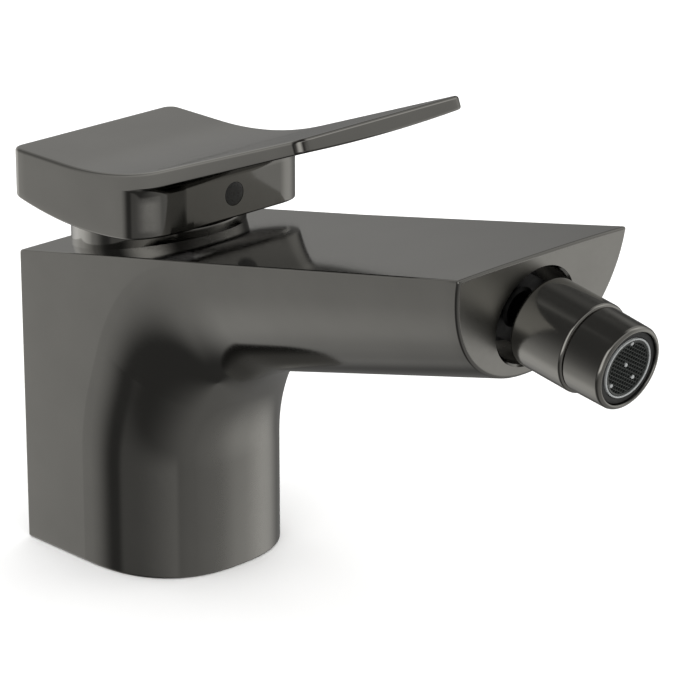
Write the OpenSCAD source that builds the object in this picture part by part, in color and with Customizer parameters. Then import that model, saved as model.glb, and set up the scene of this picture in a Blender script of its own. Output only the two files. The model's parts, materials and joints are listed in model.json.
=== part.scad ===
// Single-lever bidet mixer with a swivelling outlet, in millimetres.
// The cartridge's axis is Z, the deck is the plane z = 0, and the spout points along +X.

/* [Body] */
// Height of the flat back face
back_h = 72.8; // [66:0.2:84]
// Rise of the flat top towards the spout's tip, in degrees
top_rise = 11.4; // [8:0.2:14]
// Rise of the spout's underside, in degrees
under_rise = 14; // [10:0.2:16]
// Cartridge axis to the top edge of the spout's tip
spout_reach = 123.2; // [110:0.1:150]
// Depth of the spout's end face, along the face
tip_depth = 29.4; // [28:0.2:36]
// Extra half width of the spout at its tip
tip_flare = 0.8; // [0:0.1:2]
// Lean of the end face, which looks down by this angle
face_lean = 9.8; // [4:0.2:16]
// Fillet between the column's front and the spout
inner_fillet = 30; // [20:1:34]
// Depth of the rounded front of the column, ahead of its flat sides
column_curve = 27.7; // [22:0.1:34]
// Squareness of the column's rounded front, where 2 is an ellipse
column_power = 2.5; // [2:0.1:3.5]
// Squareness of the spout's section, where 2 is an ellipse
spout_power = 2.1; // [1.8:0.1:3]
// Metal beside the neck, on the body's left and right
side_margin = 4.4; // [3:0.2:8]
// Metal behind the neck
back_margin = 0.6; // [0.2:0.1:3]
// Metal in front of the neck, at the foot of the column
front_margin = 6.8; // [6:0.2:10]
// Wall of the hollow spout
spout_wall = 2.4; // [2:0.1:4]
// Wall of the round neck
neck_wall = 2.6; // [2:0.1:4]
// Neck above the highest point where it meets the top
neck_show = 0.3; // [0.3:0.1:3]
// Rounding of the long outer edges
edge_r = 0.5; // [0.4:0.1:1.5]

/* [Base] */
// Radius of the two hose threads, M10 x 1 tapped from 9 mm
inlet_r = 4.5; // [4:0.1:5]
// Length of the hose threads
inlet_len = 14; // [10:1:18]
// Hose threads in front of the axis
inlet_x = 4; // [3:0.5:5]
// Hose threads to either side of the axis
inlet_y = 8.5; // [8:0.5:9.5]
// Radius of the fixing stud's thread, M8 tapped from 6.8 mm
stud_r = 3.4; // [2.6:0.1:4.2]
// Length of the stud's thread
stud_len = 16; // [10:1:24]
// Fixing stud behind the axis
stud_back = 8; // [7:0.5:10]
// Middle radius of the deck seal
seal_r = 19.2; // [18.5:0.1:20]
// Width of the deck seal
seal_w = 2.6; // [2:0.1:3]
// Thickness of the deck seal
seal_t = 1.8; // [1.2:0.1:2.4]

/* [Cartridge] */
// Outside diameter of the cartridge's sleeve
cartridge_d = 34.8; // [33:0.2:37]
// Height of the cartridge's foot
foot_h = 6; // [5:0.5:8]
// Thickness of each ceramic disc
disc_t = 3.5; // [3:0.1:4.5]
// Radius of the moving disc
moving_r = 12.3; // [11.5:0.1:12.6]
// Height of the disc driver
driver_h = 4; // [3.5:0.1:5]
// Height of the carrier's flange
flange_h = 4.6; // [4:0.1:6]
// Sleeve's shoulder above the flange to the nut
clamp_h = 6.5; // [5:0.5:9]
// Height of the ring nut
nut_h = 6.2; // [5:0.2:7]
// Radius of the carrier's journal
journal_r = 10.7; // [10.4:0.1:11]
// Width of the square spindle
spindle_w = 8; // [7:0.5:8.5]
// Radius of the pivot pin
pin_r = 2; // [1.5:0.1:2.2]
// Radius of the ball at the spindle's foot
tail_r = 3; // [2.6:0.1:3.2]
// Lift of the handle, in degrees
lift = 22; // [15:1:24]

/* [Handle] */
// Height of the hub, at the middle of its curved underside
hub_h = 14.4; // [13:0.2:20]
// Hub's underside above the neck
hub_gap = 1.6; // [1.4:0.1:4]
// Radius of the hub's curved underside, seen from the side
belly_r = 104; // [80:1:160]
// Hub in front of the neck
hub_front_margin = 5.8; // [5:0.2:9]
// Hub behind the neck
hub_back_margin = 2.9; // [1:0.1:4]
// Wall of the hub
hub_wall = 2.5; // [2:0.1:2.8]
// Rounding of the hub's front corners
hub_corner = 10.4; // [6:0.2:12]
// Rounding of the hub's back corners
hub_back_corner = 3; // [1:0.5:4]
// Thickness of the lever, along its middle
lever_t = 3.8; // [3:0.1:4]
// Radius of the lever's crowned underside, seen from the tip
crown_r = 450; // [300:10:800]
// Cartridge axis to the lever's tip
lever_reach = 74.3; // [60:0.1:95]
// Rise of the lever, in degrees
lever_rise = 20.8; // [15:0.2:26]
// Radius of the bend between hub and lever
bend_r = 98; // [60:1:130]
// Cartridge axis to the middle of the bend
bend_x = 13; // [10:0.2:24]
// Rounding of the lever's tip corners
tip_corner = 2.5; // [1:0.5:6]
// Radius of the grub screw
screw_r = 2.5; // [2:0.1:3]
// Length of the grub screw
screw_len = 10; // [8:0.5:12]
// Radius of the plug over the screw
plug_r = 2.8; // [2.6:0.1:4]
// Length of the plug
plug_len = 4; // [3:0.5:6]

/* [Outlet] */
// Radius of the swivel sleeve
sleeve_r = 10.3; // [10:0.1:12]
// Length of the swivel sleeve
sleeve_len = 15.2; // [15:0.2:17]
// Tilt of the outlet to each side, in degrees
tilt = 15; // [8:1:15]
// Sleeve in front of the end face
sleeve_gap = 2; // [1.5:0.1:5]
// Free room round the sleeve in the end face's hole
hole_gap = 1; // [0.8:0.1:2.5]
// Metal under the hole
hole_rim = 2.7; // [1.6:0.1:4]
// Depth of the hole
hole_depth = 8; // [6:0.5:9]
// Radius of the swivel ball
ball_r = 6.8; // [6.4:0.1:7]
// Ball's middle behind the sleeve's front
ball_back = 8.5; // [8:0.1:9.5]
// Thickness of the slip ring round the ball
ring_t = 1.45; // [1.2:0.05:1.5]
// Radius of the nipple's thread
thread_r = 7.5; // [7:0.1:8.5]
// Radius of the nipple's neck
nipple_neck_r = 4; // [3.8:0.1:4.2]
// Radius of the nipple's waterway
nipple_bore_r = 2.8; // [2:0.1:3]
// Length of the aerator's cap outside the sleeve
cap_len = 10.1; // [7.5:0.1:12]
// Radius of the cap where it meets the sleeve
cap_r = 9.7; // [9.6:0.1:10.2]
// Radius of the cap's rim
cap_rim_r = 9.5; // [9.4:0.1:9.6]
// Radius of the black ring round the jet former
cap_ring_r = 8.3; // [8.1:0.05:8.5]
// Radius of the jet former
insert_r = 7.2; // [6.9:0.1:7.4]
// Wall of the jet former
insert_wall = 0.5; // [0.4:0.05:0.8]
// Spacing of the screen's holes
screen_pitch = 1.5; // [1.3:0.1:2.2]
// Radius of the screen's holes
screen_hole_r = 0.55; // [0.4:0.05:0.6]

/* [Fits] */
// Running clearance of pieces that turn or slide
run = 0.1; // [0.05:0.01:0.15]
// Clearance of pieces that are fixed together
seat = 0.02; // [0:0.01:0.05]
// Room between the cartridge and the body
bore_room = 0.6; // [0.4:0.1:1]

/* [Hidden] */
$fn = 64;
// Steps along the body's curves
corner_steps = 12;
fan_steps = 6;
spout_steps = 6;
join_share = 0.02;
bend_steps = 14;
belly_steps = 12;

// Body, seen from the side
cavity_r = cartridge_d / 2 + bore_room;
neck_r = cavity_r + neck_wall;
half_w = neck_r + side_margin;
back_x = -(neck_r + back_margin);
front_x = neck_r + front_margin;
base_mid = (front_x + back_x) / 2;
function top_z(x) = back_h + (x - back_x) * tan(top_rise);
tip_top = [spout_reach, top_z(spout_reach)];
face_down = [-sin(face_lean), -cos(face_lean)];
tip_low = tip_top + tip_depth * face_down;
function under_z(x) = tip_low[1] - (tip_low[0] - x) * tan(under_rise);
fan_x = front_x + inner_fillet;
fan_z = under_z(fan_x) - inner_fillet / cos(under_rise);
fan_end = 90 - under_rise;
fan_corner = atan((back_h - fan_z) / (fan_x - back_x));

// Cartridge, stacked down from the neck's top
neck_top = top_z(neck_r) + neck_show;
nut_sink = 2.7;
pin_above_clamp = 0.5;
collar_wall = 2.4;
collar_rise = 1.2;
carrier_rise = 1;
socket_floor = 0.4;
free_room = 0.4;
nut_top = neck_top - nut_sink;
clamp_z = nut_top - nut_h;
shoulder_z = clamp_z - clamp_h;
flange_top = shoulder_z - run;
flange_z = flange_top - flange_h;
driver_top = flange_z - run;
moving_top = driver_top - driver_h;
fixed_top = moving_top - disc_t;
foot_top = fixed_top - disc_t;
seat_z = foot_top - foot_h;
pivot_z = clamp_z + pin_above_clamp;
sleeve_wall = 2.2;
chamber_r = cartridge_d / 2 - sleeve_wall;
collar_r = journal_r + run + collar_wall;
collar_top = nut_top + collar_rise;
carrier_top = collar_top + carrier_rise;
rail_h = 1.8;
rail_w = 12;
rail_len = 16;
tail_z = moving_top + socket_floor + run + tail_r;
tail_arm = pivot_z - tail_z;
travel = tail_arm * sin(lift);
disc_x = -travel / 2;
outlet_x = -6;
port_r = 3.3;
port_seal_r = 4.8;
port_seal_t = 2;
port_lip = 0.3;
housing_groove = 2;
groove_z = foot_top + 3;
window_r = port_r - 0.6;
window_share = 0.8;
pocket_r = 0.42 * moving_r;
pocket_depth = 0.6 * disc_t;
ports = [[inlet_x, inlet_y], [inlet_x, -inlet_y], [outlet_x, 0]];
duct_h = 4;
duct_w = 8;
duct_roof = 2;
duct_rise = 3;
riser_t = 3;
riser_w = 16;

// Handle
hub_back = neck_r + hub_back_margin;
hub_front = neck_r + hub_front_margin;
hub_mid = (hub_front - hub_back) / 2;
belly_z = neck_top + hub_gap;
handle_top = belly_z + hub_h;
bend_start = bend_x - bend_r * tan(lever_rise / 2);
lever_tip = [lever_reach, handle_top + (lever_reach - bend_x) * tan(lever_rise)];
crown_lap = 0.1;
socket_wall = 2.5;
socket_rise = 5.5;
screw_rise = 8.9;
socket_r = spindle_w / 2 + socket_wall;
socket_z = carrier_top + socket_rise;
spindle_top = handle_top - lever_t - free_room;
screw_z = belly_z + screw_rise;
function belly(x) = belly_z + belly_r - sqrt(belly_r * belly_r - pow(x - hub_mid, 2));

// Outlet, along its own axis from the end face
hole_r = sleeve_r + hole_gap;
hole_drop = tip_depth - hole_r - hole_rim;
hole_mid = tip_top + hole_drop * face_down;
boss_r = hole_r + spout_wall;
thread_len = 6;
boss_len = hole_depth + thread_len;
washer_t = 1;
nut_t = 2;
sleeve_front = sleeve_gap + sleeve_len;
ball_z = sleeve_front - ball_back;
ring_r = ball_r + run / 2 + ring_t;
sleeve_bore = ring_r + run;
sleeve_mouth = (nipple_neck_r + free_room + (ball_z - sleeve_gap) * sin(tilt)) / cos(tilt);
ring_back = ball_z - 0.6 * ball_r;
ring_front = ball_z + 0.05 * ball_r;
seal_back = ball_z + 0.5 * ball_r;
ball_flat = 4.5;
hex_r = thread_r + 1.2;
spigot_len = 3;
seal_front = sleeve_front - spigot_len;
cap_front = sleeve_front + cap_len;
cap_bore = sleeve_bore - 0.8;
rim_round = 1;
shelf_z = sleeve_front + 1.5;
ring_z = sleeve_front + 4;
insert_front = cap_front - 0.3;
cap_ring_front = cap_front - 0.7;
screen_t = 0.6;
screen_z = cap_front - 0.9;
screen_rim = 0.6;
jet_r = 1;
sieve_t = 1.2;
sieve_hole_r = 0.6;
sieve_rings = [2, 4.6];

graphite = [0.31, 0.31, 0.30];
dark_rubber = [0.10, 0.10, 0.10];
white_plastic = [0.88, 0.88, 0.85];
grey_plastic = [0.45, 0.46, 0.48];
ceramic = [0.94, 0.93, 0.90];
bare_brass = [0.78, 0.66, 0.38];
steel = [0.70, 0.70, 0.72];
blackened = [0.06, 0.06, 0.06];

// Body: a D-shaped section swept up the column, round the inner corner and along the spout

// A station is its point on the outer face, its point on the inner face, the depth of its rounded part,
// that part's squareness and the half width
function fan_ray(angle) = let(
        dir = [-cos(angle), sin(angle)],
        to_back = (fan_x - back_x) / cos(angle),
        to_top = (top_z(fan_x) - fan_z) / (sin(angle) + cos(angle) * tan(top_rise)),
        depth = min(to_back, to_top) - inner_fillet,
        share = angle / fan_end,
        soft = share * share * (3 - 2 * share))
    [[fan_x, fan_z] + (inner_fillet + depth) * dir, [fan_x, fan_z] + inner_fillet * dir,
        column_curve + (depth - column_curve) * pow(soft, 3), column_power + (spout_power - column_power) * soft,
        half_w];

function spout_ray(share) = let(
        root = fan_ray(fan_end),
        out = root[0] + share * (tip_top - root[0]),
        in = root[1] + share * (tip_low - root[1]))
    [out, in, norm(in - out), spout_power, half_w + tip_flare * share * share];

body_stations = concat(
    [[[back_x, 0], [front_x, 0], column_curve, column_power, half_w]],
    [for (i = [0 : fan_steps]) fan_ray(fan_corner * i / fan_steps)],
    [for (i = [1 : fan_steps]) fan_ray(fan_corner + (fan_end - fan_corner) * i / fan_steps)],
    [for (i = [1 : spout_steps]) spout_ray(i / spout_steps)]);

spout_len = norm(tip_top - fan_ray(fan_end)[0]);
hollow_stations = [for (i = [0 : spout_steps]) spout_ray((1 - 1.2 * spout_wall / spout_len) * i / spout_steps)];

// Share of a section's half width at a share of its rounded part
function section_y(share, power) = pow(1 - pow(max(0, share), power), 1 / power);

// One half of a section, from the outer face to the inner one, as depth and half width
function half_section(depth, width, curve, power) = let(
        flat = depth - curve,
        join = max(flat, edge_r) + join_share * curve)
    concat(
        [for (a = [0 : 30 : 90]) let(d = edge_r * (1 - cos(a)))
            [d, (width - edge_r * (1 - sin(a))) * section_y((d - flat) / curve, power)]],
        [[join, width * section_y((join - flat) / curve, power)]],
        [for (i = [1 : corner_steps]) let(a = 90 * i / corner_steps)
            [flat + curve * pow(sin(a), 2 / power), i == corner_steps ? 0 : width * pow(cos(a), 2 / power)]]);

function ring(station, inset) = let(
        out = station[0],
        depth = norm(station[1] - out),
        dir = (station[1] - out) / depth,
        half = half_section(depth - 2 * inset, station[4] - inset, station[2] - 2 * inset, station[3]),
        last = len(half) - 1,
        both = concat([for (p = half) [p[0], -p[1]]], [for (i = [last - 1 : -1 : 0]) half[i]]))
    [for (p = both) let(q = out + (inset + p[0]) * dir) [q[0], p[1], q[1]]];

module loft(stations, inset) {
    rings = [for (s = stations) ring(s, inset)];
    count = len(rings[0]);
    last = (len(rings) - 1) * count;
    sides = [for (i = [0 : len(rings) - 2], j = [0 : count - 1])
        let(a = i * count + j, b = i * count + (j + 1) % count)
        each [[a, a + count, b + count], [a, b + count, b]]];
    polyhedron([for (r = rings) each r],
        concat(sides, [[for (j = [0 : count - 1]) j]], [[for (j = [count - 1 : -1 : 0]) last + j]]));
}

// Places its children on the outlet's axis, which leaves the end face squarely
module outlet_axis() {
    translate([hole_mid[0], 0, hole_mid[1]]) rotate([0, 90 + face_lean, 0]) children();
}

module rod(r, z0, z1) {
    translate([0, 0, z0]) cylinder(r = r, h = z1 - z0);
}

module tube(outer, inner, z0, z1) {
    difference() {
        rod(outer, z0, z1);
        rod(inner, z0 - 1, z1 + 1);
    }
}

module ball(r, z) {
    translate([0, 0, z]) sphere(r = r);
}

// The room that water fills in the spout, round the boss that takes the nipple
module spout_hollow() {
    difference() {
        loft(hollow_stations, spout_wall);
        outlet_axis() rod(boss_r, -boss_len, spout_wall);
    }
}

// From under the cartridge's foot to the front of the column, and up into the spout
module outlet_duct() {
    riser_x = (cavity_r + front_x - free_room) / 2;
    floor_z = seat_z - duct_roof - duct_h;
    sill_z = under_z(fan_x) + duct_rise;
    translate([outlet_x, 0, 0]) rod(port_r, floor_z + duct_h / 2, seat_z + 1);
    translate([outlet_x - port_r, -duct_w / 2, floor_z]) cube([riser_x - outlet_x + port_r, duct_w, duct_h]);
    translate([riser_x - riser_t / 2, -riser_w / 2, floor_z]) cube([riser_t, riser_w, sill_z + duct_h - floor_z]);
    translate([riser_x, -riser_w / 2, sill_z]) cube([fan_x - riser_x, riser_w, duct_h]);
}

module body_casting() {
    color(graphite) difference() {
        union() {
            loft(body_stations, 0);
            rod(neck_r, seat_z, neck_top);
        }
        rod(cavity_r, seat_z, neck_top + 1);
        spout_hollow();
        outlet_duct();
        outlet_axis() {
            rod(hole_r, -hole_depth, 2);
            rod(thread_r, -boss_len - 1, -hole_depth + 1);
        }
        for (side = [-1, 1]) translate([inlet_x, side * inlet_y, 0]) {
            rod(inlet_r, -1, inlet_len);
            rod(port_r, inlet_len - 1, seat_z + 1);
        }
        translate([-stud_back, 0, 0]) rod(stud_r, -1, stud_len);
        translate([base_mid, 0, 0]) tube(seal_r + seal_w / 2, seal_r - seal_w / 2, -1, seal_t);
    }
}

module base_seal() {
    color(dark_rubber) translate([base_mid, 0, 0])
        tube(seal_r + seal_w / 2 - seat, seal_r - seal_w / 2 + seat, 0, seal_t);
}

// Cartridge

module cartridge_base() {
    color(white_plastic) difference() {
        rod(cartridge_d / 2, seat_z, foot_top);
        for (p = ports) translate([p[0], p[1], 0]) {
            rod(port_r - port_lip, seat_z - 1, foot_top + 1);
            rod(port_seal_r + seat, seat_z - 1, seat_z + port_seal_t);
        }
    }
}

module port_seals() {
    color(dark_rubber) for (p = ports) translate([p[0], p[1], 0])
        tube(port_seal_r, port_r - port_lip, seat_z, seat_z + port_seal_t);
}

module cartridge_housing() {
    color(white_plastic) difference() {
        union() {
            rod(cartridge_d / 2, foot_top, clamp_z);
            rod(collar_r, clamp_z - 1, collar_top);
        }
        rod(chamber_r, foot_top - 1, shoulder_z);
        rod(journal_r + run, shoulder_z - 1, collar_top + 1);
        tube(cavity_r + 1, cartridge_d / 2 - 1, groove_z, groove_z + housing_groove);
    }
}

module housing_seal() {
    color(dark_rubber) tube(cavity_r - seat, cartridge_d / 2 - 1 + seat, groove_z, groove_z + housing_groove);
}

module fixed_disc() {
    color(ceramic) difference() {
        rod(chamber_r - run, foot_top, fixed_top);
        for (p = ports) translate([p[0], p[1] * window_share, 0]) rod(window_r, foot_top - 1, fixed_top + 1);
    }
}

module moving_disc() {
    color(ceramic) translate([disc_x, 0, 0]) difference() {
        rod(moving_r, fixed_top, moving_top);
        rod(pocket_r, fixed_top - 1, fixed_top + pocket_depth);
    }
}

// Its socket is deep enough for the spindle's ball, which rises as it swings
module disc_driver() {
    color(grey_plastic) difference() {
        union() {
            translate([disc_x, 0, 0]) rod(moving_r - free_room, moving_top, driver_top);
            translate([-rail_len / 2, -rail_w / 2, driver_top - 1]) cube([rail_len, rail_w, 1 + rail_h]);
        }
        rod(tail_r + run, moving_top + socket_floor, driver_top + rail_h + 1);
    }
}

module lever_carrier() {
    rail_back = rail_len / 2 + free_room;
    front_room = travel + tail_r + free_room;
    back_room = (carrier_top - pivot_z) * tan(lift) + spindle_w / 2 / cos(lift) + free_room;
    color(grey_plastic) difference() {
        union() {
            rod(chamber_r - run, flange_z, flange_top);
            rod(journal_r, flange_top - 1, carrier_top);
        }
        translate([-back_room, -spindle_w / 2 - run, flange_z - 1])
            cube([back_room + front_room, spindle_w + 2 * run, carrier_top - flange_z + 2]);
        translate([-rail_back, -rail_w / 2 - run, flange_z - 1])
            cube([2 * rail_back + travel, rail_w + 2 * run, 1 + rail_h + run]);
        translate([0, 0, pivot_z]) rotate([90, 0, 0])
            cylinder(r = pin_r + seat, h = 3 * journal_r, center = true);
    }
}

module pivot_pin() {
    color(steel) translate([0, 0, pivot_z]) rotate([90, 0, 0])
        cylinder(r = pin_r, h = 2 * journal_r - 2, center = true);
}

// Square above the pin, tapering to a neck that ends in a ball
module spindle() {
    neck_w = 2 * tail_r - 1.6;
    color(steel) difference() {
        union() {
            translate([-spindle_w / 2, -spindle_w / 2, pivot_z - 3])
                cube([spindle_w, spindle_w, spindle_top - pivot_z + 3]);
            translate([-spindle_w / 2 + 1, -spindle_w / 2 + 1, pivot_z - 5])
                cube([spindle_w - 2, spindle_w - 2, 3]);
            rod(neck_w / 2, tail_z, pivot_z - 4);
            ball(tail_r, tail_z);
        }
        translate([0, 0, pivot_z]) rotate([90, 0, 0]) cylinder(r = pin_r + run, h = 3 * spindle_w, center = true);
    }
}

module cartridge_nut() {
    notch_w = 3;
    color(bare_brass) difference() {
        tube(cavity_r - seat, collar_r + 0.3, clamp_z, nut_top);
        for (a = [0 : 60 : 300]) rotate([0, 0, a])
            translate([collar_r - 1, -notch_w / 2, nut_top - 2]) cube([2.6, notch_w, 3]);
    }
}

// Domed ring on the neck, with a lip inside it
module cartridge_cover() {
    dome = 2.5;
    lip = 2.5;
    inner = cavity_r - lip;
    color(graphite) rotate_extrude() {
        translate([inner, neck_top]) square([neck_r - inner - dome, dome]);
        translate([neck_r - dome, neck_top]) intersection() {
            circle(r = dome);
            square(dome);
        }
        translate([inner, nut_top + 1]) square([lip - run, neck_top - nut_top]);
    }
}

// Handle

// The line along the top of the handle, lowered by a depth, from the hub's back to the lever's tip
function handle_line(down) = concat(
    [[-hub_back, handle_top - down]],
    [for (i = [0 : bend_steps]) let(a = lever_rise * i / bend_steps)
        [bend_start + (bend_r + down) * sin(a), handle_top + bend_r - (bend_r + down) * cos(a)]],
    [lever_tip + down * [sin(lever_rise), -cos(lever_rise)]]);

function reversed(list) = [for (i = [len(list) - 1 : -1 : 0]) list[i]];

// Extrudes a side view across the handle
module across(points, width) {
    rotate([90, 0, 0]) linear_extrude(height = width, center = true) polygon(points);
}

// A plan outline with rounded corners: back corners of one radius and front corners of another
module plan(back, front, half, back_r, front_r) {
    translate([0, -half]) square([front - front_r, 2 * half]);
    translate([-back, -half + back_r]) square([back, 2 * (half - back_r)]);
    translate([-back + back_r, -half]) square([back, 2 * half]);
    translate([front - front_r - 1, -half + front_r]) square([front_r + 1, 2 * (half - front_r)]);
    for (side = [-1, 1]) {
        translate([front - front_r, side * (half - front_r)]) circle(r = front_r);
        translate([-back + back_r, side * (half - back_r)]) circle(r = back_r);
    }
}

// A long cylinder along the lever, whose lowest line is a little inside the lever's underside
module crown() {
    tip = lever_tip + (lever_t - crown_lap) * [sin(lever_rise), -cos(lever_rise)];
    translate([tip[0], 0, tip[1]]) rotate([0, 90 - lever_rise, 0])
        translate([-crown_r, 0, 0]) cylinder(r = crown_r, h = 4 * lever_reach, center = true, $fn = 4 * $fn);
}

module handle_room(z0, z1) {
    translate([0, 0, z0]) linear_extrude(height = z1 - z0) children();
}

module handle() {
    far = lever_reach + 2 * lever_t;
    high = lever_tip[1] + 10;
    belly_line = [for (i = [0 : belly_steps])
        let(x = -hub_back + (hub_front + hub_back) * i / belly_steps) [x, belly(x)]];
    hub_side = concat(belly_line, [[hub_front, handle_top + 20], [-hub_back, handle_top + 20]]);
    below_top = concat(handle_line(lever_t / 2), [[far, belly_z - 5], [-hub_back, belly_z - 5]]);
    color(graphite) difference() {
        union() {
            intersection() {
                across(concat(handle_line(0), reversed(handle_line(lever_t))), 3 * half_w);
                crown();
                handle_room(belly_z, high)
                    plan(hub_back, lever_reach + lever_t * sin(lever_rise), half_w, hub_back_corner, tip_corner);
            }
            intersection() {
                across(below_top, 3 * half_w);
                across(hub_side, 3 * half_w);
                handle_room(belly_z - 1, high) difference() {
                    plan(hub_back, hub_front, half_w, hub_back_corner, hub_corner);
                    plan(hub_back - hub_wall, hub_front - hub_wall, half_w - hub_wall, 1, hub_corner - hub_wall);
                }
            }
            intersection() {
                across(below_top, 3 * half_w);
                translate([-socket_r, -socket_r, socket_z])
                    cube([socket_r + hub_front - hub_wall / 2, 2 * socket_r, high - socket_z]);
            }
        }
        translate([-spindle_w / 2 - seat, -spindle_w / 2 - seat, socket_z - 1])
            cube([spindle_w + 2 * seat, spindle_w + 2 * seat, spindle_top + seat - socket_z + 1]);
        translate([0, 0, screw_z]) rotate([0, 90, 0]) {
            rod(screw_r + seat, 0, hub_front);
            rod(plug_r + seat, hub_front - plug_len - seat, hub_front + 1);
        }
    }
}

module grub_screw() {
    color(steel) translate([spindle_w / 2 + seat, 0, screw_z]) rotate([0, 90, 0]) difference() {
        cylinder(r = screw_r, h = screw_len);
        translate([0, 0, screw_len - 2.5]) cylinder(r = screw_r * 0.55, h = 3, $fn = 6);
    }
}

module handle_plug() {
    color(grey_plastic) translate([hub_front - plug_len, 0, screw_z]) rotate([0, 90, 0])
        cylinder(r = plug_r, h = plug_len);
}

// Outlet

module swivel_nipple() {
    color(blackened) outlet_axis() difference() {
        union() {
            rod(thread_r - seat, -boss_len, -hole_depth + washer_t);
            translate([0, 0, -hole_depth + washer_t]) cylinder(r = hex_r, h = nut_t, $fn = 6);
            rod(nipple_neck_r, -hole_depth + washer_t, ball_z);
            intersection() {
                ball(ball_r, ball_z);
                rod(ball_r + 1, ball_z - ball_r, ball_z + ball_flat);
            }
        }
        rod(nipple_bore_r, -boss_len - 1, ball_z + ball_r);
    }
}

module nipple_seal() {
    color(dark_rubber) outlet_axis()
        tube(hex_r, thread_r + seat, -hole_depth, -hole_depth + washer_t);
}

module slip_ring() {
    color(white_plastic) outlet_axis() difference() {
        intersection() {
            ball(ring_r, ball_z);
            rod(ring_r + 1, ring_back, ring_front);
        }
        ball(ball_r + run / 2, ball_z);
    }
}

module swivel_sleeve() {
    rim = 1.4;
    color(graphite) outlet_axis() difference() {
        union() {
            rod(sleeve_r, sleeve_gap + rim, sleeve_front);
            rod(sleeve_r - rim, sleeve_gap, sleeve_gap + 2 * rim);
            translate([0, 0, sleeve_gap + rim]) rotate_extrude() translate([sleeve_r - rim, 0]) circle(r = rim);
        }
        ball(sleeve_bore, ball_z);
        rod(sleeve_bore, ball_z, sleeve_front + 1);
        rod(sleeve_mouth, sleeve_gap - 1, ball_z);
    }
}

module ball_seal() {
    color(dark_rubber) outlet_axis() difference() {
        tube(sleeve_bore - seat, nipple_bore_r + 1.6, seal_back, seal_front);
        ball(ball_r + run, ball_z);
    }
}

// Threaded into the sleeve, with a rounded rim at the mouth
module aerator_cap() {
    color(graphite) outlet_axis() difference() {
        union() {
            rod(sleeve_bore - seat, seal_front, sleeve_front + 1);
            translate([0, 0, sleeve_front]) rotate_extrude() {
                polygon([[0, 0], [cap_r, 0], [cap_rim_r, cap_len - rim_round], [0, cap_len - rim_round]]);
                translate([0, cap_len - 2 * rim_round]) square([cap_rim_r - rim_round, 2 * rim_round]);
                translate([cap_rim_r - rim_round, cap_len - rim_round]) circle(r = rim_round);
            }
        }
        rod(cap_bore, seal_front - 1, shelf_z + 1);
        rod(cap_ring_r, shelf_z, cap_front + 1);
    }
}

module cap_ring() {
    color(dark_rubber) outlet_axis() tube(cap_ring_r - seat, insert_r + seat, ring_z, cap_ring_front);
}

// A cup with a flange that sits on the cap's shelf
module aerator_insert() {
    color(white_plastic) outlet_axis() difference() {
        union() {
            rod(insert_r, shelf_z, insert_front);
            rod(cap_ring_r - seat, shelf_z, ring_z);
        }
        rod(insert_r - insert_wall, ring_z, cap_front);
        for (a = [0 : 40 : 320]) rotate([0, 0, a]) translate([insert_r * 0.6, 0, 0]) rod(jet_r, shelf_z - 1, ring_z + 1);
    }
}

// A honeycomb of round holes
module aerator_screen() {
    screen_r = insert_r - insert_wall - seat;
    rows = floor(screen_r / screen_pitch);
    color(grey_plastic) outlet_axis() difference() {
        union() {
            rod(screen_r, screen_z, screen_z + screen_t);
            tube(screen_r, screen_r - screen_rim, ring_z, screen_z + screen_t);
        }
        for (row = [-rows : rows], col = [-rows - 1 : rows + 1]) {
            x = screen_pitch * (col + (row % 2 == 0 ? 0 : 0.5));
            y = screen_pitch * row * sin(60);
            if (norm([x, y]) < screen_r - screen_rim - screen_hole_r)
                translate([x, y, 0]) rod(screen_hole_r, screen_z - 1, screen_z + screen_t + 1);
        }
    }
}

// A sieve behind the jet former
module filter_disc() {
    color(grey_plastic) outlet_axis() difference() {
        rod(cap_bore - seat, shelf_z - sieve_t, shelf_z);
        for (r = sieve_rings, a = [0 : 45 : 315]) rotate([0, 0, a]) translate([r, 0, 0])
            rod(sieve_hole_r, shelf_z - sieve_t - 1, shelf_z + 1);
    }
}

body_casting();
base_seal();
cartridge_base();
port_seals();
cartridge_housing();
housing_seal();
fixed_disc();
moving_disc();
disc_driver();
lever_carrier();
pivot_pin();
spindle();
cartridge_nut();
cartridge_cover();
handle();
grub_screw();
handle_plug();
swivel_nipple();
nipple_seal();
slip_ring();
swivel_sleeve();
ball_seal();
aerator_cap();
cap_ring();
aerator_insert();
aerator_screen();
filter_disc();
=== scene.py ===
import json
from math import asin, atan2, ceil, cos, hypot, pi, radians, sin, sqrt, tan

import bmesh
import bpy
from mathutils import Matrix, Vector


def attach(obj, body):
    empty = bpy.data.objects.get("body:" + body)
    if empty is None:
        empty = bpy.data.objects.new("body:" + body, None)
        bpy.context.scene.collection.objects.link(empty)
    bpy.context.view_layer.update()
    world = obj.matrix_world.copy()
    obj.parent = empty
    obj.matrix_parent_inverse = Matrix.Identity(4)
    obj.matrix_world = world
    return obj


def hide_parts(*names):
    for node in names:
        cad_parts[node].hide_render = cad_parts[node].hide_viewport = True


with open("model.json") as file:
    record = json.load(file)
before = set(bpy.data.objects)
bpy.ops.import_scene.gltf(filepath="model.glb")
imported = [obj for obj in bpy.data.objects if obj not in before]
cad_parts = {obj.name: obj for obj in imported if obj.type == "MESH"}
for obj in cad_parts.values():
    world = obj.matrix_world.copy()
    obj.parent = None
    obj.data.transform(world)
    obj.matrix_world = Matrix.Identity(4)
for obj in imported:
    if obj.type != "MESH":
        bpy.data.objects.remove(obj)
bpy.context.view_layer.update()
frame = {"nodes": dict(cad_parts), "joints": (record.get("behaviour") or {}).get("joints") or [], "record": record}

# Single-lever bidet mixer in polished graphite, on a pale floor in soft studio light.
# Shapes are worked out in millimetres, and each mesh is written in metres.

MM = 0.001

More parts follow.
